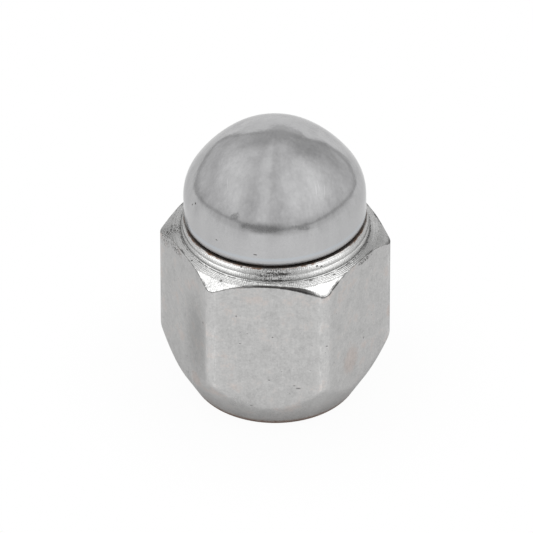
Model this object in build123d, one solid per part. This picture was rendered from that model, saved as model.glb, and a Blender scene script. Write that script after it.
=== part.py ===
from build123d import *
from math import cos, radians, sin, tan
import os

# A closed-end wheel nut. A forged and tapped hexagonal body has a conical seat below and a turned
# collar on top, and a pressed steel cap, hollow inside, has its rim welded on the collar.
# Millimetres. +Z runs up the thread from the seat end to the dome, the origin is the centre of
# the seat end, and one corner of the hexagon points along +X.

# Hexagon and conical seat
across_flats = 21.0
hex_corner_radius = 1.1
seat_end_radius = 8.5
seat_half_angle = 30.0
seat_edge_round = 0.3

# Turned top of the body: a collar under the cap, a narrow ledge round it, and the corner chamfer
collar_top = 20.6
collar_step = 0.05
collar_height = 1.55
collar_draft = 12.0
ledge_width = 0.95
ledge_fall = 10.0
chamfer_angle = 39.0

# Thread M12 x 1.5, held as a plain bore of tap-drill size with a 45 degree countersink at each end
thread_diameter = 12.0
thread_pitch = 1.5
lead_in = 1.1
run_out = 1.0

# Pressed cap: a straight skirt, rolled in at the rim, and a dome of three tangent arcs
cap_radius = 9.45
cap_wall = 1.6
cap_skirt = 2.65
rim_round = 0.7
shoulder_radius = 5.25
flank_radius = 14.8
shoulder_angle = 32.5
flank_angle = 49.7
cap_lean = 1.2

# The weld seam: the collar stands out from the cap by the step, and both lean towards -X here.
collar_radius = cap_radius + collar_step
seam = Location((0, 0, collar_top), (0, -cap_lean, 0))


def turned(outline):
    """The solid turned about Z from a closed outline of (radius, height) points."""
    return revolve(Plane.XZ * make_face(Polyline(*outline, close=True)), Axis.Z)


def hexagon_prism(height):
    """The forged blank, with its six corners rounded."""
    section = RegularPolygon(across_flats / 2, 6, major_radius=False)
    return extrude(fillet(section.vertices(), hex_corner_radius), height)


def turning_envelope():
    """All that the seat cone and the lathe cuts on top leave of the blank."""
    foot_radius = collar_radius + collar_height * tan(radians(collar_draft))
    foot_height = collar_top - collar_height
    ledge_radius = foot_radius + ledge_width
    ledge_height = foot_height - ledge_width * tan(radians(ledge_fall))
    above_seam = collar_height
    neck_radius = collar_radius - above_seam * tan(radians(collar_draft))

    # The seat cone and the corner chamfer run out past the blank, to where the two would meet.
    seat_slope = 1 / tan(radians(seat_half_angle))
    chamfer_slope = tan(radians(chamfer_angle))
    rise = ledge_height + (ledge_radius - seat_end_radius) * chamfer_slope
    reach = rise / (seat_slope + chamfer_slope)
    outline = [
        (0, 0),
        (seat_end_radius, 0),
        (seat_end_radius + reach, reach * seat_slope),
        (ledge_radius, ledge_height),
        (foot_radius, foot_height),
        (neck_radius, collar_top + above_seam),
        (0, collar_top + above_seam),
    ]
    return turned(outline)


def tapped_bore():
    """The plain bore that stands for the thread, with its two countersinks."""
    bore_radius = (thread_diameter - thread_pitch) / 2
    past_end = 1.0
    outline = [
        (0, -past_end),
        (bore_radius + lead_in + past_end, -past_end),
        (bore_radius, lead_in),
        (bore_radius, collar_top - run_out),
        (bore_radius + run_out + past_end, collar_top + past_end),
        (0, collar_top + past_end),
    ]
    return turned(outline)


def hex_body():
    blank = hexagon_prism(collar_top + collar_height)
    body = split(blank & turning_envelope(), Plane(seam), keep=Keep.BOTTOM)
    seat_edge = body.edges().filter_by(GeomType.CIRCLE).sort_by(Axis.Z)[0]
    body = fillet(seat_edge, seat_edge_round)
    return body - tapped_bore()


def dome_cap():
    """The cap, drawn about its own axis with its rim on height 0, then set on the seam."""
    start, end = radians(shoulder_angle), radians(flank_angle)
    shoulder_centre = (cap_radius - shoulder_radius, cap_skirt)
    blend = flank_radius - shoulder_radius
    flank_centre = (
        shoulder_centre[0] - blend * cos(start),
        shoulder_centre[1] - blend * sin(start),
    )
    tip_radius = flank_radius + flank_centre[0] / cos(end)
    tip_centre = (0, flank_centre[1] - flank_centre[0] * tan(end))
    top = tip_centre[1] + tip_radius

    def dome_arcs(inset):
        return [
            CenterArc(shoulder_centre, shoulder_radius - inset, 0, shoulder_angle),
            CenterArc(flank_centre, flank_radius - inset, shoulder_angle, flank_angle - shoulder_angle),
            CenterArc(tip_centre, tip_radius - inset, flank_angle, 90 - flank_angle),
        ]

    inner_radius = cap_radius - cap_wall
    rim_foot = cap_radius - rim_round
    section = [
        Line((inner_radius, 0), (rim_foot, 0)),
        CenterArc((rim_foot, rim_round), rim_round, -90, 90),
        Line((cap_radius, rim_round), (cap_radius, cap_skirt)),
        *dome_arcs(0),
        Line((0, top), (0, top - cap_wall)),
        *dome_arcs(cap_wall),
        Line((inner_radius, cap_skirt), (inner_radius, 0)),
    ]
    return seam * revolve(Plane.XZ * make_face(Curve() + section), Axis.Z)


os.makedirs("parts", exist_ok=True)
for name, shape in {"hex_body": hex_body(), "dome_cap": dome_cap()}.items():
    export_step(shape, f"parts/{name}.step")
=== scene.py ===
import math
import bpy
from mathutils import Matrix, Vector


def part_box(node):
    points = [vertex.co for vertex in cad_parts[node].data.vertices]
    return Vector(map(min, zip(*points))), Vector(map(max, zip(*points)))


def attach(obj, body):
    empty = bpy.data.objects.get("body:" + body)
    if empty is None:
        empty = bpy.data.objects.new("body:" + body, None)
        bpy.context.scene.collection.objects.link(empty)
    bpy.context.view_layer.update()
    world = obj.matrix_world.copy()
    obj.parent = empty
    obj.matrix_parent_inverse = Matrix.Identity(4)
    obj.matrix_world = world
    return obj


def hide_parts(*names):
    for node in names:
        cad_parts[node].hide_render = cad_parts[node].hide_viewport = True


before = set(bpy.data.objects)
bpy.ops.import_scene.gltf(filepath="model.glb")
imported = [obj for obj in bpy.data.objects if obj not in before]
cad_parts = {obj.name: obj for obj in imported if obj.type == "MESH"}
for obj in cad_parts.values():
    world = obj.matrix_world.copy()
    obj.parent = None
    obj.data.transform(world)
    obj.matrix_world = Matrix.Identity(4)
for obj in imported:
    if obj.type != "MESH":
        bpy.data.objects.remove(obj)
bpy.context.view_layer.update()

# ---------------------------------------------------------------- sizes, in millimetres
# The nut stands on its seat end, with its thread along Z and one corner of the hexagon on +X.
MM = 0.001
body_low, body_high = (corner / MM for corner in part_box("hex_body"))
cap_low, cap_high = (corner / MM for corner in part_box("dome_cap"))

ACROSS_FLATS = body_high.y - body_low.y
CORNER_RADIUS = 1.1
SEAT_END_RADIUS = 8.5
SEAT_HALF_ANGLE = math.radians(30)

SEAM_HEIGHT = 20.6
COLLAR_RADIUS = 9.5
COLLAR_FOOT = Vector((9.83, 19.05))
LEDGE_EDGE = Vector((10.78, 18.88))
CHAMFER_ANGLE = math.radians(39)
RIDGE_HEIGHT = 0.055
PAST_CORNERS = 13.0

THREAD_MAJOR = 6.03
THREAD_MINOR = 5.22
THREAD_PITCH = 1.5
LEAD_IN = 1.1
RUN_OUT = 1.0

CAP_RADIUS = (cap_high.y - cap_low.y) / 2
CAP_WALL = 1.6
CAP_SKIRT = 2.65
RIM_ROUND = 0.7
SHOULDER_RADIUS = 5.25
FLANK_RADIUS = 14.8
SHOULDER_ANGLE = math.radians(32.5)
FLANK_ANGLE = math.radians(49.7)
CAP_LEAN = math.radians(1.2)


# ---------------------------------------------------------------- node trees, written as Python
class Value:
    """A number that varies over a surface. Arithmetic on it adds Math nodes to its tree."""

    def __init__(self, tree, socket):
        self.tree = tree
        self.socket = socket

    def math(self, operation, *others):
        return self.tree.math(operation, self, *others)

    def __add__(self, other):
        return self.math("ADD", other)

    def __radd__(self, other):
        return self.math("ADD", other)

    def __sub__(self, other):
        return self.math("SUBTRACT", other)

    def __rsub__(self, other):
        return self.tree.math("SUBTRACT", other, self)

    def __mul__(self, other):
        return self.math("MULTIPLY", other)

    def __rmul__(self, other):
        return self.math("MULTIPLY", other)

    def __truediv__(self, other):
        return self.math("DIVIDE", other)

    def __mod__(self, other):
        return self.math("FLOORED_MODULO", other)

    def __pow__(self, other):
        return self.math("POWER", other)

    def __neg__(self):
        return self.math("MULTIPLY", -1)

    def __abs__(self):
        return self.math("ABSOLUTE")


class Tree:
    """A node tree, for geometry, a material or the world."""

    def __init__(self, nodes_owner):
        self.owner = nodes_owner

    def node(self, kind, settings=(), **sockets):
        """Adds a node: its settings first, then a value or a link for each socket it names."""
        node = self.owner.nodes.new(kind)
        for name, value in dict(settings).items():
            setattr(node, name, value)
        for name, value in sockets.items():
            self.feed(self.find(node, name), value)
        return node

    @staticmethod
    def find(node, name):
        """The usable input with that name, where an underscore stands for a space."""
        wanted = name.replace("_", " ").lower()
        return next(s for s in node.inputs if s.name.lower() == wanted and s.enabled)

    def feed(self, socket, value):
        if isinstance(value, Value):
            value = value.socket
        if isinstance(value, bpy.types.NodeSocket):
            self.owner.links.new(value, socket)
        else:
            socket.default_value = value

    def value(self, node, output=0):
        return Value(self, node.outputs[output])

    def math(self, operation, *values):
        node = self.owner.nodes.new("ShaderNodeMath")
        node.operation = operation
        for socket, value in zip(node.inputs, values):
            self.feed(socket, value)
        return self.value(node)

    def split(self, vector):
        parts = self.node("ShaderNodeSeparateXYZ", Vector=vector)
        return [self.value(parts, i) for i in range(3)]

    def join(self, x, y, z):
        return self.node("ShaderNodeCombineXYZ", X=x, Y=y, Z=z).outputs[0]

    def smooth(self, value, low, high):
        """Rises smoothly from 0 at low to 1 at high, or falls where low is the larger."""
        up = low < high
        ends = {"From Min": min(low, high), "From Max": max(low, high)}
        node = self.owner.nodes.new("ShaderNodeMapRange")
        node.interpolation_type = "SMOOTHSTEP"
        self.feed(node.inputs["Value"], value)
        for name, end in ends.items():
            node.inputs[name].default_value = end
        node.inputs["To Min"].default_value = 0 if up else 1
        node.inputs["To Max"].default_value = 1 if up else 0
        return self.value(node)

    def noise(self, vector, scale, detail=2.0, roughness=0.5):
        """Noise about 0.5 at so many features to a unit of the vector."""
        texture = self.node(
            "ShaderNodeTexNoise", Vector=vector, Scale=scale, Detail=detail, Roughness=roughness
        )
        return self.value(texture)

    def blend(self, factor, first, second):
        """A colour that goes from the first to the second."""
        mix = self.owner.nodes.new("ShaderNodeMix")
        mix.data_type = "RGBA"
        self.feed(mix.inputs["Factor"], factor)
        for socket, colour in ((mix.inputs[6], first), (mix.inputs[7], second)):
            self.feed(socket, colour if isinstance(colour, bpy.types.NodeSocket) else (*colour, 1))
        return mix.outputs[2]

    def mix_shaders(self, factor, first, second):
        """A surface that goes from the first shader to the second."""
        mix = self.node("ShaderNodeMixShader", Fac=factor)
        self.feed(mix.inputs[1], first.outputs[0])
        self.feed(mix.inputs[2], second.outputs[0])
        return mix


# ---------------------------------------------------------------- outlines of the turned forms
def arc(centre, radius, start, end, steps):
    """Points on an arc, both ends included; angles in radians from the radial direction."""
    angles = [start + (end - start) * i / steps for i in range(steps + 1)]
    return [Vector((centre[0] + radius * math.cos(a), centre[1] + radius * math.sin(a))) for a in angles]


def run(start, end, steps):
    """Points on a straight line from start up to, but without, the end."""
    return [Vector(start).lerp(Vector(end), i / steps) for i in range(steps)]


def eased(before, corner, after, size, steps=4):
    """A rounded corner: a curve that leaves the first side and joins the second at that size."""
    corner = Vector(corner)
    start = corner + (Vector(before) - corner).normalized() * size
    end = corner + (Vector(after) - corner).normalized() * size
    shares = [i / steps for i in range(steps + 1)]
    return [start.lerp(corner, share).lerp(corner.lerp(end, share), share) for share in shares]


def polyline(corners, steps, rounds):
    """Straight sides with so many steps each, and corners eased by the rounds."""
    points = [Vector(corners[0])]
    for i in range(1, len(corners)):
        if i == len(corners) - 1:
            turn = [Vector(corners[i])]
        else:
            turn = eased(corners[i - 1], corners[i], corners[i + 1], rounds[i - 1])
        points += run(points[-1], turn[0], steps[i - 1])[1:]
        points += turn
    return points


def body_outline():
    """The body's section, up the outside and down the bore, as (radius, height, thread, lean)."""
    mouth = THREAD_MINOR + LEAD_IN
    seat_rise = (PAST_CORNERS - SEAT_END_RADIUS) / math.tan(SEAT_HALF_ANGLE)
    chamfer_foot = LEDGE_EDGE.y - (PAST_CORNERS - LEDGE_EDGE.x) * math.tan(CHAMFER_ANGLE)
    throat = THREAD_MINOR + RUN_OUT
    outside = polyline(
        [
            (mouth, 0),
            (SEAT_END_RADIUS, 0),
            (PAST_CORNERS, seat_rise),
            (PAST_CORNERS, chamfer_foot),
            LEDGE_EDGE,
            COLLAR_FOOT,
            (COLLAR_RADIUS, SEAM_HEIGHT),
            (throat, SEAM_HEIGHT),
        ],
        steps=[4, 44, 12, 30, 7, 36, 5],
        rounds=[0.3, 0.1, 0.1, 0.06, 0.1, 0.08],
    )
    rows = []
    for radius, height in outside:
        above_foot = min(max((height - COLLAR_FOOT.y) / (SEAM_HEIGHT - COLLAR_FOOT.y), 0), 1)
        on_collar = radius > COLLAR_RADIUS - 0.02
        rows.append((radius + on_collar * tool_ridge(above_foot), height, 0, above_foot))

    # The thread's form along one pitch: crest, flank, root, flank.
    form = [(0, 0), (0.125, 0), (0.25, 0), (0.4, 0.48), (0.5625, 1), (0.6875, 1), (0.85, 0.48)]
    top, bottom = thread_ends()
    turns = math.ceil((top - bottom) / THREAD_PITCH) + 1
    for turn in range(turns):
        for place, depth in form:
            radius = THREAD_MINOR + depth * (THREAD_MAJOR - THREAD_MINOR)
            rows.append((radius, top - (turn + place) * THREAD_PITCH, 1, 0))
    return rows


def tool_ridge(share):
    """How far the two low ridges that the tool left on the collar stand out, up its height."""
    lowest, span, bluntness = 0.1, 0.78, 0.8
    along = min(max((share - lowest) / span, 0), 1)
    return RIDGE_HEIGHT * abs(math.sin(2 * math.pi * along)) ** bluntness


def thread_ends():
    """The heights between which the thread runs: where each countersink is as wide as its root."""
    depth = THREAD_MAJOR - THREAD_MINOR
    return SEAM_HEIGHT - RUN_OUT + depth, LEAD_IN - depth


def cap_outline():
    """The cap's section, down the inside from its tip, round the rim and up the outside."""
    shoulder = Vector((CAP_RADIUS - SHOULDER_RADIUS, SEAM_HEIGHT + CAP_SKIRT))
    towards_flank = Vector((math.cos(SHOULDER_ANGLE), math.sin(SHOULDER_ANGLE)))
    flank = shoulder - (FLANK_RADIUS - SHOULDER_RADIUS) * towards_flank
    tip = Vector((0, flank.y - flank.x * math.tan(FLANK_ANGLE)))
    tip_radius = FLANK_RADIUS + flank.x / math.cos(FLANK_ANGLE)
    rim_foot = CAP_RADIUS - RIM_ROUND

    def dome(inset, steps):
        quarter = math.pi / 2
        return (
            arc(tip, tip_radius - inset, quarter, FLANK_ANGLE, steps)[:-1]
            + arc(flank, FLANK_RADIUS - inset, FLANK_ANGLE, SHOULDER_ANGLE, steps * 2 // 3)[:-1]
            + arc(shoulder, SHOULDER_RADIUS - inset, SHOULDER_ANGLE, 0, steps * 2 // 3)
        )

    skirt_foot = (CAP_RADIUS, SEAM_HEIGHT + RIM_ROUND)
    inner_foot = (CAP_RADIUS - CAP_WALL, SEAM_HEIGHT)
    outside = dome(0, 36)
    inside = dome(CAP_WALL, 12)
    points = (
        outside[:-1]
        + run(outside[-1], skirt_foot, 10)
        + arc((rim_foot, SEAM_HEIGHT + RIM_ROUND), RIM_ROUND, 0, -math.pi / 2, 10)
        + run((rim_foot, SEAM_HEIGHT), inner_foot, 4)[1:]
        + run(inner_foot, inside[-1], 4)
        + inside[::-1]
    )
    return [(p.x, p.y, 0, 1) for p in reversed(points)]


# ---------------------------------------------------------------- the turned form as geometry nodes
def outline_object(name, rows):
    """A chain of points that holds an outline, with how much each takes of the thread and lean."""
    mesh = bpy.data.meshes.new(name)
    mesh.from_pydata([(r * MM, 0, z * MM) for r, z, _, _ in rows], [], [])
    for label, column in (("thread", 2), ("lean", 3)):
        attribute = mesh.attributes.new(label, "FLOAT", "POINT")
        attribute.data.foreach_set("value", [row[column] for row in rows])
    piece = bpy.data.objects.new(name, mesh)
    bpy.context.scene.collection.objects.link(piece)
    return piece


TURNED_INPUTS = {
    "Columns": "NodeSocketInt",
    "Rows": "NodeSocketInt",
    "Outline Points": "NodeSocketInt",
    "Across Flats": "NodeSocketFloat",
    "Corner Radius": "NodeSocketFloat",
    "Edge Softness": "NodeSocketFloat",
    "Seat Softness": "NodeSocketFloat",
    "Corner Crowding": "NodeSocketFloat",
    "Pitch": "NodeSocketFloat",
    "Thread Top": "NodeSocketFloat",
    "Thread Bottom": "NodeSocketFloat",
    "Mouth Reach": "NodeSocketFloat",
    "Throat Reach": "NodeSocketFloat",
    "Seam Height": "NodeSocketFloat",
    "Lean": "NodeSocketFloat",
    "Material": "NodeSocketMaterial",
}


def turned_form_tree():
    """Turns an outline about Z, trims it to a hexagon, winds the thread and leans the top."""
    group = bpy.data.node_groups.new("turned_form", "GeometryNodeTree")
    face = group.interface
    face.new_socket("Outline", in_out="INPUT", socket_type="NodeSocketGeometry")
    for name, kind in TURNED_INPUTS.items():
        face.new_socket(name, in_out="INPUT", socket_type=kind)
    face.new_socket("Form", in_out="OUTPUT", socket_type="NodeSocketGeometry")
    tree = Tree(group)
    given = tree.node("NodeGroupInput").outputs
    size = {name: Value(tree, given[name]) for name in TURNED_INPUTS if name != "Material"}

    # A grid holds every point: columns go round the axis and rows follow the outline.
    columns = size["Columns"]
    rows = size["Rows"]
    grid = tree.node("GeometryNodeMeshGrid", Vertices_X=columns + 1, Vertices_Y=rows)
    index = tree.value(tree.node("GeometryNodeInputIndex"))
    column = (index / rows).math("FLOOR")
    row = (index % rows) % size["Outline Points"]

    def from_outline(source, kind):
        sample = tree.node(
            "GeometryNodeSampleIndex", {"data_type": kind, "domain": "POINT"},
            Geometry=given["Outline"], Value=source, Index=row,
        )
        return sample.outputs[0]

    def named(label):
        kind = {"data_type": "FLOAT"}
        source = tree.node("GeometryNodeInputNamedAttribute", kind, Name=label).outputs[0]
        return Value(tree, from_outline(source, "FLOAT"))

    place = tree.node("GeometryNodeInputPosition").outputs[0]
    radius, _, height = tree.split(from_outline(place, "FLOAT_VECTOR"))
    thread = named("thread")
    lean = named("lean")

    # Columns crowd towards the six corners, where the surface turns fastest.
    even = column / columns * (2 * math.pi)
    angle = even - size["Corner Crowding"] / 6 * (even * 6).math("SINE")

    # The thread climbs one pitch in a turn, and the countersinks cut its two ends.
    climb = height + size["Pitch"] * angle / (2 * math.pi)
    climb = climb.math("MINIMUM", size["Thread Top"]).math("MAXIMUM", size["Thread Bottom"])
    cut = radius.math("MAXIMUM", size["Mouth Reach"] - climb)
    cut = cut.math("MAXIMUM", climb - size["Throat Reach"])
    height = height + thread * (climb - height)
    radius = radius + thread * (cut - radius)

    # The hexagon: flats at one distance from the axis, and a round at each corner.
    sixth = math.pi / 3
    off_corner = abs((angle + sixth / 2) % sixth - sixth / 2)
    flat = size["Across Flats"] / 2
    flat_radius = flat / (sixth / 2 - off_corner).math("COSINE")
    round_centre = (flat - size["Corner Radius"]) / math.cos(sixth / 2)
    chord = size["Corner Radius"] ** 2 - (round_centre * off_corner.math("SINE")) ** 2
    on_round = round_centre * off_corner.math("COSINE") + chord.math("MAXIMUM", 0).math("SQRT")
    middle = round_centre + size["Corner Radius"] * math.cos(sixth / 2)
    tangent = (size["Corner Radius"] * math.sin(sixth / 2) / middle).math("ARCTANGENT")
    hexagon = flat_radius + off_corner.math("LESS_THAN", tangent) * (on_round - flat_radius)
    trim = radius - hexagon
    softness = size["Edge Softness"] + (size["Seat Softness"] - size["Edge Softness"]) * height.math(
        "LESS_THAN", size["Seam Height"] / 2
    )
    radius = radius.math("SMOOTH_MIN", hexagon, softness)

    upright = tree.join(radius * angle.math("COSINE"), radius * angle.math("SINE"), height)
    leaned = tree.node(
        "ShaderNodeVectorRotate", {"rotation_type": "Y_AXIS"},
        Vector=upright, Center=tree.join(0, 0, size["Seam Height"]), Angle=size["Lean"] * lean,
    )
    placed = tree.node("GeometryNodeSetPosition", Geometry=grid.outputs[0], Position=leaned.outputs[0])
    marked = placed
    off_corner_degrees = off_corner * (180 / math.pi)
    for label, value in (("trim", trim / MM), ("thread", thread), ("corner", off_corner_degrees)):
        marked = tree.node(
            "GeometryNodeStoreNamedAttribute", {"data_type": "FLOAT", "domain": "POINT"},
            Geometry=marked.outputs[0], Name=label, Value=value,
        )
    closed = tree.node("GeometryNodeMergeByDistance", Geometry=marked.outputs[0], Distance=0.0015 * MM)
    smooth = tree.node("GeometryNodeSetShadeSmooth", Geometry=closed.outputs[0], Shade_Smooth=True)
    real = tree.node("GeometryNodeRealizeInstances", Geometry=smooth.outputs[0])
    painted = tree.node("GeometryNodeSetMaterial", Geometry=real.outputs[0], Material=given["Material"])
    tree.node("NodeGroupOutput", Form=painted.outputs[0])
    return group


def turned_piece(name, tree, rows, material, columns, closed, hexagon, sharp_angle):
    """One plain mesh, made by the tree from an outline."""
    piece = outline_object(name, rows)
    top, bottom = thread_ends()
    values = {
        "Columns": columns,
        "Rows": len(rows) + (1 if closed else 0),
        "Outline Points": len(rows),
        "Across Flats": (ACROSS_FLATS if hexagon else 4 * ACROSS_FLATS) * MM,
        "Corner Radius": CORNER_RADIUS * MM,
        "Edge Softness": 0.12 * MM,
        "Seat Softness": 0.45 * MM,
        "Corner Crowding": 0.85 if hexagon else 0.0,
        "Pitch": THREAD_PITCH * MM,
        "Thread Top": top * MM,
        "Thread Bottom": bottom * MM,
        "Mouth Reach": (THREAD_MINOR + LEAD_IN) * MM,
        "Throat Reach": (SEAM_HEIGHT - RUN_OUT - THREAD_MINOR) * MM,
        "Seam Height": SEAM_HEIGHT * MM,
        "Lean": -CAP_LEAN,
        "Material": material,
    }
    modifier = piece.modifiers.new("turned_form", "NODES")
    modifier.node_group = tree
    for item in tree.interface.items_tree:
        if item.in_out == "INPUT" and item.name in values:
            modifier[item.identifier] = values[item.name]
    evaluated = piece.evaluated_get(bpy.context.evaluated_depsgraph_get())
    mesh = bpy.data.meshes.new_from_object(evaluated)
    piece.modifiers.remove(modifier)
    piece.data = mesh
    mesh.name = name
    mesh.set_sharp_from_angle(angle=sharp_angle)
    return piece


# ---------------------------------------------------------------- finishes
def new_material(name):
    material = bpy.data.materials.new(name)
    material.use_nodes = True
    material.node_tree.nodes.clear()
    return material, Tree(material.node_tree)


class Skin:
    """Where a point lies on the nut: in mm, and in degrees round from the flat that faces -Y."""

    def __init__(self, tree):
        self.tree = tree
        place = tree.node("ShaderNodeTexCoord").outputs["Object"]
        scaled = tree.node("ShaderNodeVectorMath", {"operation": "SCALE"}, Vector=place, Scale=1 / MM)
        self.place = scaled.outputs[0]
        self.x, self.y, self.z = tree.split(self.place)
        self.around = self.x.math("ARCTAN2", -self.y) * (180 / math.pi)
        self.reach = (self.x * self.x + self.y * self.y).math("SQRT")
        self.above_seam = self.z - SEAM_HEIGHT - self.x * math.tan(CAP_LEAN)
        self.ragged = (tree.noise(self.place, 3.5, 4.0, 0.65) - 0.5) * 1.6

    def attribute(self, name):
        return self.tree.value(self.tree.node("ShaderNodeAttribute", {"attribute_name": name}), 2)

    def noise(self, scale, detail=2.0, roughness=0.5, drawn=(1, 1, 1)):
        """Noise with so many features to a mm, drawn out along the axes with the smaller shares."""
        vector = self.place
        if drawn != (1, 1, 1):
            vector = self.tree.join(self.x * drawn[0], self.y * drawn[1], self.z * drawn[2])
        return self.tree.noise(vector, scale, detail, roughness)

    def mark(self, at, height, wide, tall, tilt=0, ragged=0.5, clear=1.25, full=0.55):
        """An oval mark at so many degrees round and mm up, wide and tall in mm to each side."""
        radius = COLLAR_RADIUS if height > COLLAR_FOOT.y else ACROSS_FLATS / 2
        sideways = ((self.around - at + 180) % 360 - 180) * (math.pi / 180 * radius)
        upward = self.z - height
        turn = math.radians(tilt)
        along = (sideways * math.cos(turn) + upward * math.sin(turn)) / wide
        across = (upward * math.cos(turn) - sideways * math.sin(turn)) / tall
        far = (along * along + across * across).math("SQRT") + self.ragged * ragged
        return self.tree.smooth(far, clear, full)

    def marks(self, places, ragged=0.5):
        """The union of several marks."""
        total = 0
        for place in places:
            mark = self.mark(*place, ragged=ragged)
            total = mark.math("MAXIMUM", total)
        return total

    def pits(self, places, ragged=0.35):
        """The union of round pits, each at so many degrees round, mm out and mm up, with a radius."""
        total = 0
        for at, out, height, radius in places:
            turn = math.radians(at)
            centre = (out * math.sin(turn), -out * math.cos(turn), height)
            away = self.tree.node("ShaderNodeVectorMath", {"operation": "DISTANCE"}, Vector=self.place)
            away.inputs[1].default_value = centre
            far = self.tree.value(away, 1) / radius + self.ragged * ragged
            total = self.tree.smooth(far, 1.25, 0.55).math("MAXIMUM", total)
        return total

    def specks(self, scale, size, share):
        """Scattered round specks: one in each cell of a share of the cells, size in cells."""
        cells = self.tree.node("ShaderNodeTexVoronoi", Vector=self.place, Scale=scale)
        chosen = self.tree.split(cells.outputs["Color"])[0].math("LESS_THAN", share)
        return self.tree.smooth(self.tree.value(cells, "Distance"), size, size * 0.5) * chosen


def finish_metal(tree, colour, roughness, relief, edge_tint):
    """A metal whose relief is a height in mm, with how much it brightens where it turns away."""
    bump = tree.node("ShaderNodeBump", Strength=1.0, Distance=MM, Height=relief)
    shader = tree.node(
        "ShaderNodeBsdfPrincipled", Base_Color=colour, Roughness=roughness, Metallic=1.0,
        Normal=bump.outputs[0], Specular_Tint=(edge_tint, edge_tint, edge_tint, 1),
    )
    tree.node("ShaderNodeOutputMaterial", Surface=shader.outputs[0])


RUST = (0.16, 0.065, 0.022)
SEAM_SHADE_COLOUR = (0.13, 0.12, 0.11)
DARK_MARK_AND_SHADE = (0.035, 0.033, 0.032)
TEMPER_TINT = (1.0, 0.86, 0.8, 1)
DARK_STEEL = (0.2, 0.19, 0.18)
PALE_STEEL = (0.3, 0.29, 0.28)
PIT_FLOOR = (0.06, 0.055, 0.05)
COOL_RIM_HIGHLIGHT = (0.48, 0.52, 0.56)
RIM_SHADE = (0.36, 0.36, 0.37)
RIM_DEPTH = (0.22, 0.2, 0.19)

# Marks on the body, as (degrees round, mm up, half width, half height).
FLAT_PITS = [
    (3, 12.6, 0.1, 0.09), (-15, 11.6, 0.12, 0.07), (1, 7.1, 0.14, 0.08), (-9, 3.7, 0.15, 0.08),
    (65, 8.7, 0.13, 0.13), (31, 11.6, 0.12, 0.11), (-17, 15.1, 0.08, 0.12), (-36, 13.2, 0.1, 0.12),
    (17, 6.2, 0.22, 0.1), (15, 6.5, 0.12, 0.08), (-118, 10.4, 0.15, 0.12), (142, 13.1, 0.12, 0.16),
    (176, 7.9, 0.14, 0.12), (-162, 12.2, 0.1, 0.13), (104, 6.3, 0.12, 0.16), (-98, 6.9, 0.11, 0.11),
]
ROUGH_PATCHES = [(-84, 18.3, 1.1, 1.3), (-70, 18.3, 1.4, 0.5), (66, 18.6, 1.4, 0.3)]
SMEARS_AND_PAINTED_REFLECTIONS = [
    (8, 20.05, 1.0, 0.17), (1, 20.15, 0.7, 0.1), (5, 19.3, 1.7, 0.13), (-2, 19.75, 0.8, 0.08),
    (115, 19.9, 0.8, 0.08), (-140, 19.4, 1.0, 0.08),
]
TEMPER_STAINS = [
    (52, 7.3, 1.3, 1.7), (-44, 4.8, 1.1, 0.9), (88, 9.4, 0.35, 0.8), (-170, 8.0, 1.6, 1.2),
    (125, 12.0, 1.2, 1.9),
]

# Pits on the turned top, as (degrees round, mm out from the axis, mm up, radius).
TOP_PITS = [
    (-27, 10.7, 18.9, 0.15), (26, 10.0, 19.0, 0.15), (41, 10.2, 19.0, 0.14), (-17, 9.5, 20.4, 0.12),
    (34, 9.6, 20.1, 0.14), (31, 9.6, 20.3, 0.12), (-52, 10.3, 19.0, 0.13), (-150, 10.4, 19.0, 0.2),
    (128, 10.1, 19.0, 0.2), (170, 9.6, 20.2, 0.16),
]

# Where the tool chattered on the front of the collar, as (degrees round, mm up), and the two dark marks
# on the crest below it. The darkness of the chatter is partly a painted dark reflection.
CHATTER = (3, 19.8)
CREST_DARK_MARK = (8, 18.6, 4.6, 1.3)
CREST_DARK_LINE = (8, 18.7, 4.4, 1.0)


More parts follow.
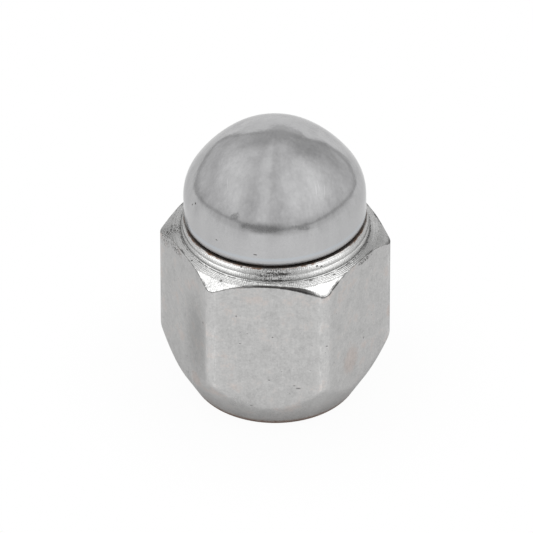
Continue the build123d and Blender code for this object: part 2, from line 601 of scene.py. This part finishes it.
def body_plating():
    """Satin plate on the forged flats and seat, brighter on the turned top, rust at the seam."""
    material, tree = new_material("body_plating")
    skin = Skin(tree)
    trim = skin.attribute("trim")
    thread = tree.smooth(skin.attribute("thread"), 0.3, 0.7)
    off_corner = skin.attribute("corner")
    upper = tree.smooth(skin.z, 14.5, 15.0)
    turned = tree.smooth(trim, 0.03, -0.05) * upper
    seat = tree.smooth(trim, 0.25, -0.25) * (1 - upper)

    # Forged flats: fine upright grain, mottling, and the pale wear that sockets leave on the corners.
    grain = skin.noise(1.0, 3.0, 0.6, drawn=(7, 7, 0.9))
    speckle = skin.noise(5.0, 3.0, 0.7)
    mottle = skin.noise(0.55, 4.0, 0.6)
    cloud = skin.noise(1.7, 3.0, 0.6)
    grey = 0.5 + (mottle - 0.5) * 0.2 + (cloud - 0.5) * 0.14
    grey = grey + (grain - 0.5) * 0.1 + (speckle - 0.5) * 0.27
    wear = tree.smooth(off_corner + (grain - 0.5) * 7 + (mottle - 0.5) * 6, 7.5, 1.5)
    line = tree.smooth(abs(off_corner - 2.6 + (mottle - 0.5) * 4), 1.0, 0.2)
    grey = grey + wear * 0.035 + line * 0.09 * tree.smooth(grain + (mottle - 0.5), 0.45, 0.7) * (1 - seat)
    shaded = skin.mark(-44, 10.4, 2.3, 5.0, ragged=0.7, clear=1.5, full=0.2)
    grey = grey * (1 - 0.26 * shaded * tree.smooth(off_corner, 2.0, 4.5))
    # The seat darkens towards its bottom edge: painted shade.
    grey = grey * (1 - 0.16 * seat * tree.smooth(skin.z + (speckle - 0.5) * 1.2, 4.2, 0.4))
    colour = tree.join(grey * 1.004, grey, grey * 0.992)
    warm = tree.smooth(mottle + (speckle - 0.5) * 0.3, 0.54, 0.7) * 0.45
    stains = skin.marks(TEMPER_STAINS, ragged=0.9) * 0.55
    tint = tree.node(
        "ShaderNodeMix", {"data_type": "RGBA", "blend_type": "MULTIPLY"},
        Factor=warm.math("MAXIMUM", stains),
    )
    tree.feed(tint.inputs[6], colour)
    tree.feed(tint.inputs[7], TEMPER_TINT)
    colour = tint.outputs[2]

    # The turned top: even plate with rings of tool marks, a chattered patch and dark smears, darkened at
    # the front of the collar partly as a painted dark reflection, and painted shade in the crease at the
    # collar's foot.
    ring = tree.noise(tree.join(skin.z * 9 + skin.reach * 7, skin.around * 0.02, 0), 1.0, 3.0, 0.7)
    on_collar = tree.smooth(skin.reach, 9.95, 9.86)
    on_ledge = tree.smooth(skin.reach, 10.8, 10.7) * (1 - on_collar)
    stroke = (skin.around * (2 * math.pi / 1.1) + ring * 3).math("SINE") * tree.smooth(cloud, 0.4, 0.6)
    bright = 0.46 + on_collar * 0.1 + on_ledge * 0.02 + (ring - 0.5) * 0.55 + (speckle - 0.5) * 0.4
    dulled = skin.mark(-27, 18.3, 1.5, 0.8) * tree.smooth(grain, 0.42, 0.6)
    bright = bright + stroke * 0.07 - 0.16 * dulled
    colour = tree.blend(turned, colour, tree.join(bright, bright, bright * 0.99))
    # A dark line in the crease at the collar's foot is painted shade.
    foot_crease_shade = tree.smooth(abs(skin.reach - 9.9 + (speckle - 0.5) * 0.12), 0.08, 0.02) * turned
    foot_crease_shade = foot_crease_shade * (0.25 + 0.5 * tree.smooth(cloud, 0.42, 0.58))
    ledge_line = tree.smooth(abs(skin.reach - 10.74 + (speckle - 0.5) * 0.16), 0.07, 0.01) * turned
    dark = foot_crease_shade.math("MAXIMUM", ledge_line * 0.5 * tree.smooth(cloud, 0.42, 0.6))
    # The smears and the chatter on the front of the collar are tool marks, darkened partly as a painted
    # dark reflection.
    dark = dark.math("MAXIMUM", skin.marks(SMEARS_AND_PAINTED_REFLECTIONS, ragged=0.9) * tree.smooth(speckle, 0.3, 0.5))
    chatter_and_painted_reflection = skin.mark(*CHATTER, 2.7, 1.2, ragged=0.6, clear=1.5, full=0.2)
    chatter_and_painted_reflection = chatter_and_painted_reflection * tree.smooth(stroke + (speckle - 0.5) * 6, -0.5, 0.5)
    dark = dark.math("MAXIMUM", chatter_and_painted_reflection * 0.85 * on_collar * turned)

    # The crest between the flats and the chamfer is darker in a ragged line, most of all over the front
    # flat.
    crest = tree.smooth(abs(trim + 0.02 + (speckle - 0.5) * 0.4), 0.25, 0.08) * upper
    darker_stretches = tree.smooth(skin.noise(0.45, 3.0, 0.6), 0.46, 0.6) * 0.8
    darker_stretches = darker_stretches.math("MAXIMUM", skin.mark(*CREST_DARK_MARK, ragged=0.2))
    # A second dark line along the crest, over the front flat.
    split = tree.smooth(abs(trim + 0.04 + (speckle - 0.5) * 0.2), 0.34, 0.2)
    crest = crest.math("MAXIMUM", split * skin.mark(*CREST_DARK_LINE, ragged=0.2))
    dark = dark.math("MAXIMUM", crest * darker_stretches)
    rough = skin.marks(ROUGH_PATCHES, ragged=0.7)
    dark = dark.math("MAXIMUM", rough * tree.smooth(speckle, 0.47, 0.6) * upper)
    pits = (skin.marks(FLAT_PITS, ragged=0.6) * 0.75).math("MAXIMUM", skin.pits(TOP_PITS))
    pits = pits.math("MAXIMUM", skin.specks(0.9, 0.08, 0.5) * 0.5)
    pits = pits.math("MAXIMUM", skin.specks(2.2, 0.12, 0.3) * 0.3)
    dark = dark.math("MAXIMUM", pits * 0.7)
    colour = tree.blend(dark * 0.95, colour, DARK_MARK_AND_SHADE)

    # Rust creeps out of the seam and stains the edge of the seat, the top of the collar is darkened under
    # the seam as painted shade, and the thread is bare steel.
    creep = (cloud - 0.5) * 0.45 + (speckle - 0.5) * 0.12
    rusty = tree.smooth(skin.above_seam + creep, -0.15, -0.04) * tree.smooth(mottle, 0.36, 0.6)
    seat_edge = tree.smooth(skin.z + (speckle - 0.5) * 0.9, 1.0, 0.2) * tree.smooth(skin.reach, 7.9, 8.5)
    worn_end = tree.smooth(skin.z, 0.1, 0.02) * 0.6
    worn_end = worn_end * tree.smooth(mottle + (speckle - 0.5) * 0.5, 0.5, 0.62)
    rusty = rusty.math("MAXIMUM", (seat_edge * 0.75).math("MAXIMUM", worn_end))
    colour = tree.blend(rusty * tree.smooth(thread, 0.5, 0.0), colour, RUST)
    # Painted shade in the gap under the cap's rim.
    seam_shade = tree.smooth(skin.above_seam + (speckle - 0.5) * 0.16, -0.08, 0.02) * 0.85
    colour = tree.blend(seam_shade * (1 - thread), colour, SEAM_SHADE_COLOUR)
    steel = tree.blend(speckle, DARK_STEEL, PALE_STEEL)
    colour = tree.blend(thread, colour, steel)

    roughness = 0.3 + (mottle - 0.5) * 0.14 - turned * 0.13 + dark * 0.25 + rusty * 0.3

    # The relief: grain and mottling on the flats, fine grooves, chatter and a rolled ledge on top.
    groove = (skin.z * 70 + skin.reach * 45).math("SINE") * 0.0035
    chatter = (skin.around * (2 * math.pi / 1.3)).math("SINE") * tree.smooth(mottle, 0.42, 0.6) * 0.004
    chatter = chatter + stroke * skin.mark(*CHATTER, 2.6, 1.6) * 0.01
    rolled = skin.reach.math("MINIMUM", LEDGE_EDGE.x).math("MAXIMUM", COLLAR_FOOT.x) - COLLAR_FOOT.x
    forged_relief = (grain - 0.5) * 0.006 + (speckle - 0.5) * 0.004 + (mottle - 0.5) * 0.03
    turned_relief = groove - rolled * 0.35 + chatter + (speckle - 0.5) * 0.02
    relief = forged_relief + (turned_relief - forged_relief) * turned - dark * 0.03 - pits * 0.04
    finish_metal(tree, colour, roughness, relief, edge_tint=0.7)
    return material


# Marks on the cap, in the same way, with a tilt in degrees where one leans. The smudges break the
# dark horizon that it mirrors, and those at the tip are given as the pits on the turned top are.
CAP_SMUDGES = [
    (-24, 25.9, 0.55, 0.35, 30), (-14, 25.35, 0.9, 0.3, 10), (22, 25.2, 1.1, 0.25, -12),
    (-3, 25.25, 1.9, 0.4, 0), (150, 27.4, 0.9, 0.3, 25), (-120, 26.1, 0.8, 0.3, -20),
]
TIP_SMUDGES = [(60, 0.8, 31.4, 1.5), (80, 2.2, 31.2, 0.9)]
CAP_PITS = [
    (-59, 25.0, 0.13, 0.1), (-62, 24.6, 0.1, 0.08), (-35, 22.7, 0.12, 0.06), (-8, 22.2, 0.2, 0.06),
    (118, 24.2, 0.12, 0.1), (-160, 23.4, 0.14, 0.1),
]
CAP_SCRATCHES = [
    (40, 27.9, 0.5, 0.05, 60), (47, 27.6, 0.6, 0.05, 50), (44, 28.2, 0.4, 0.04, 65),
    (-40, 28.2, 0.7, 0.04, -40), (160, 25.6, 0.9, 0.05, 20), (-100, 27.2, 0.7, 0.05, 35),
]

# Soft streaks down the front, as (degrees round, strength, degrees to its fade, degrees full).
FRONT_STREAKS = [(-18, -0.045, 9, 2), (-5, 0.035, 6, 1), (6, -0.04, 9, 2)]


def cap_plating():
    """Smooth plate on the pressed cap, with soft streaks drawn down it, a painted highlight and painted
    shade at the rim, and rust at the seam.
    """
    material, tree = new_material("cap_plating")
    skin = Skin(tree)
    speckle = skin.noise(4.0, 3.0, 0.65)
    mottle = skin.noise(0.3, 3.0, 0.55)
    drawn = skin.noise(1.0, 3.0, 0.55, drawn=(0.7, 0.7, 0.16))
    fine_drawn = skin.noise(1.0, 2.0, 0.5, drawn=(3, 3, 0.5))
    dome = tree.smooth(skin.above_seam, 2.6, 5.0)
    streaks = (drawn - 0.5) * 0.22 + (fine_drawn - 0.5) * 0.1
    wavering = skin.around + (mottle - 0.5) * 20
    for at, strength, outer, inner in FRONT_STREAKS:
        streaks = streaks + strength * tree.smooth(abs(wavering - at), outer, inner)
    fade = tree.smooth(skin.reach, 1.5, 4.5)
    grey = 0.475 - 0.02 * dome + streaks * (0.2 + 0.8 * dome) * (0.3 + 0.7 * fade)
    grey = grey + (mottle - 0.5) * 0.06 + (speckle - 0.5) * 0.07
    smudges = skin.marks(CAP_SMUDGES, ragged=0.9) * tree.smooth(speckle, 0.25, 0.6)
    smudges = smudges.math("MAXIMUM", skin.pits(TIP_SMUDGES, ragged=0.8) * 0.6)
    grey = grey * (1 - 0.35 * smudges)
    grey = grey + skin.marks(CAP_SCRATCHES, ragged=0.3) * 0.1
    colour = tree.join(grey, grey, grey * 1.01)
    # A thin bluish band low on the skirt is a painted highlight.
    rim_highlight = tree.smooth(abs(skin.above_seam - 1.05), 0.3, 0.05) * 0.6
    colour = tree.blend(rim_highlight, colour, COOL_RIM_HIGHLIGHT)
    pits = skin.marks(CAP_PITS, ragged=0.4)
    colour = tree.blend(pits * 0.8, colour, PIT_FLOOR)
    # Under the rim the plate darkens into the seam: painted shade.
    under = tree.smooth(skin.above_seam + (speckle - 0.5) * 0.1, 0.95, 0.4)
    colour = tree.blend(under * 0.5, colour, RIM_SHADE)
    deep = tree.smooth(skin.above_seam + (speckle - 0.5) * 0.2, 0.3, 0.05)
    colour = tree.blend(deep * 0.5, colour, RIM_DEPTH)
    creep = (skin.noise(1.7, 3.0, 0.6) - 0.5) * 0.4 + (speckle - 0.5) * 0.12
    rusty = tree.smooth(skin.above_seam + creep, 0.1, -0.02) * tree.smooth(mottle, 0.35, 0.6)
    colour = tree.blend(rusty, colour, RUST)
    roughness = 0.16 + (mottle - 0.5) * 0.08 + smudges * 0.12 + under * 0.25 + pits * 0.2
    relief = (mottle - 0.5) * 0.045 + (drawn - 0.5) * 0.03 + (speckle - 0.5) * 0.0012 - pits * 0.05
    finish_metal(tree, colour, roughness, relief, edge_tint=0.85)
    return material


# ---------------------------------------------------------------- stage: floor, light and camera
FLOOR_RADIUS = 0.28
STUDIO_TURN = 4.5


def pale_floor():
    """A white disc: it keeps the nut's shadow near the nut and fades to plain white outwards. To the
    metal it glows, with a painted shadow close to the nut and painted light in front.
    """
    bpy.ops.mesh.primitive_circle_add(vertices=96, radius=FLOOR_RADIUS, fill_type="NGON")
    floor = bpy.context.object
    floor.name = "floor"
    material, tree = new_material("pale_floor")
    path = tree.node("ShaderNodeLightPath")
    camera = tree.value(path, "Is Camera Ray")
    glossy = tree.value(path, "Is Glossy Ray").math("MAXIMUM", tree.value(path, "Is Transmission Ray"))
    x, y, _ = tree.split(tree.node("ShaderNodeTexCoord").outputs["Object"])
    reach = (x * x + y * y).math("SQRT")
    camera_white = camera * (0.95 + 0.05 * tree.smooth(reach, 0.012, 0.026))
    # What the metal mirrors of the floor is a glow with a painted shadow near the nut and painted light
    # ahead.
    ahead = tree.smooth(y / reach, -0.2, -0.85)
    near = tree.smooth(reach, 0.0078, 0.0115)
    away = tree.smooth(reach, 0.009, 0.024)
    glossy_white = glossy * (0.25 + 0.3 * near + (0.24 + 0.25 * ahead) * away)
    paper = tree.node("ShaderNodeBsdfDiffuse", Color=(0.88, 0.88, 0.88, 1))
    glow = tree.node("ShaderNodeEmission", Color=(1, 1, 1, 1), Strength=1.0)
    lit = tree.mix_shaders(camera_white.math("MAXIMUM", glossy_white), paper, glow)
    clear = tree.node("ShaderNodeBsdfTransparent")
    underside = tree.node("ShaderNodeNewGeometry").outputs["Backfacing"]
    one_sided = tree.mix_shaders(underside, lit, clear)
    tree.node("ShaderNodeOutputMaterial", Surface=one_sided.outputs[0])
    floor.data.materials.append(material)


def studio_light():
    """A white world to the eye, and a pale studio with a thin dark horizon to the metal."""
    world = bpy.data.worlds.new("studio")
    bpy.context.scene.world = world
    world.use_nodes = True
    world.node_tree.nodes.clear()
    tree = Tree(world.node_tree)
    x, y, z = tree.split(tree.node("ShaderNodeTexCoord").outputs["Generated"])
    height = z.math("ARCSINE") * (180 / math.pi)
    around = x.math("ARCTAN2", -y) * (180 / math.pi) - STUDIO_TURN

    def off(at):
        """Degrees round from a direction, either way."""
        return abs((around - at + 180) % 360 - 180)

    def patch(at, wide, up, tall):
        """A soft-edged patch of the studio, centred on a direction, in degrees."""
        sideways = off(at) / wide
        upward = (height - up) / tall
        far = (sideways * sideways + upward * upward).math("SQRT")
        return tree.smooth(far, 1.3, 0.3)

    # Behind the nut a bright paper sweep rises from the table, with a dark edge and dim walls round it.
    sweep_far = ((off(175) / 33) ** 4 + (height.math("MAXIMUM", 0) / 40) ** 4) ** 0.25
    sweep = tree.smooth(sweep_far, 1.03, 0.97)
    sweep_edge = tree.smooth(abs(sweep_far - 1) * 36, 4.0, 0.5) * tree.smooth(height, -12, -5)

    # Elsewhere the table ends in a thin dark line, higher in front than at the sides.
    line_height = 10 - 13 * tree.smooth(off(0), 70, 135) + 4 * tree.smooth(off(-55), 30, 0)
    line = tree.smooth(abs(height - line_height), 4.2, 0.4) * (1 - sweep)
    band = tree.smooth(height, -8, 3) * tree.smooth(height, 28, 14) * (1 - sweep)

    level = 0.95 + 0.2 * patch(55, 48, 42, 26) + 0.1 * patch(-85, 45, 40, 22)
    level = level - 0.37 * patch(133, 26, 42, 30) - 0.21 * patch(-152, 26, 42, 30)
    level = level - 0.2 * patch(180, 40, 56, 16)
    level = level - 0.14 * band - 0.38 * patch(-10, 26, 11, 15)
    level = level + sweep * (1.04 - level)
    level = level * (1 - 0.42 * line.math("MAXIMUM", sweep_edge))
    eye = tree.value(tree.node("ShaderNodeLightPath"), "Is Camera Ray")
    seen = level + eye * (1 - level)
    shade = tree.node("ShaderNodeBackground", Color=(1, 1, 1, 1), Strength=seen)
    tree.node("ShaderNodeOutputWorld", Surface=shade.outputs[0])


def side_lamps(target):
    """Two tall softboxes, left and right in front, which put the white glints on the turned top."""
    lit = bpy.data.collections.new("lit_by_side_lamps")
    lit.objects.link(target)
    lift = math.radians(34)
    distance = 0.6
    for name, off_front in (("left_softbox", -64), ("right_softbox", 64)):
        turn = math.radians(STUDIO_TURN + off_front)
        away = Vector((math.sin(turn), -math.cos(turn), math.tan(lift))).normalized()
        data = bpy.data.lights.new(name, "AREA")
        data.shape = "RECTANGLE"
        data.size = 0.62
        data.size_y = 0.85
        data.energy = 2.3
        lamp = bpy.data.objects.new(name, data)
        bpy.context.scene.collection.objects.link(lamp)
        lamp.location = Vector((0, 0, SEAM_HEIGHT * MM)) + away * distance
        lamp.rotation_mode = "QUATERNION"
        lamp.rotation_quaternion = (-away).to_track_quat("-Z", "Y")
        lamp.light_linking.receiver_collection = lit


def camera():
    """A long lens from the front and above, a little round to the right."""
    azimuth = math.radians(STUDIO_TURN)
    elevation = math.radians(36.0)
    distance = 1.09
    frame_width = 0.0553
    aside = 0.0009
    aim_height = 0.01402
    right = Vector((math.cos(azimuth), math.sin(azimuth), 0))
    back = Vector((
        math.sin(azimuth) * math.cos(elevation),
        -math.cos(azimuth) * math.cos(elevation),
        math.sin(elevation),
    ))
    data = bpy.data.cameras.new("camera")
    data.sensor_width = 36
    data.lens = data.sensor_width * distance / frame_width
    data.clip_start = 0.1
    data.clip_end = 10
    view = bpy.data.objects.new("camera", data)
    bpy.context.scene.collection.objects.link(view)
    view.rotation_mode = "QUATERNION"
    view.location = Vector((0, 0, aim_height)) - right * aside + back * distance
    view.rotation_quaternion = (-back).to_track_quat("-Z", "Y")
    bpy.context.scene.camera = view


# ---------------------------------------------------------------- the nut
form = turned_form_tree()
hex_body = turned_piece(
    "hex_body_form", form, body_outline(), body_plating(),
    columns=360, closed=True, hexagon=True, sharp_angle=math.radians(40),
)
dome_cap = turned_piece(
    "dome_cap_form", form, cap_outline(), cap_plating(),
    columns=256, closed=False, hexagon=False, sharp_angle=math.radians(60),
)
for piece, node, slot in ((hex_body, "hex_body", "body_plating"), (dome_cap, "dome_cap", "cap_plating")):
    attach(piece, "root")
    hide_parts(node)

pale_floor()
studio_light()
side_lamps(hex_body)
camera()
bpy.context.scene.view_settings.view_transform = "Standard"
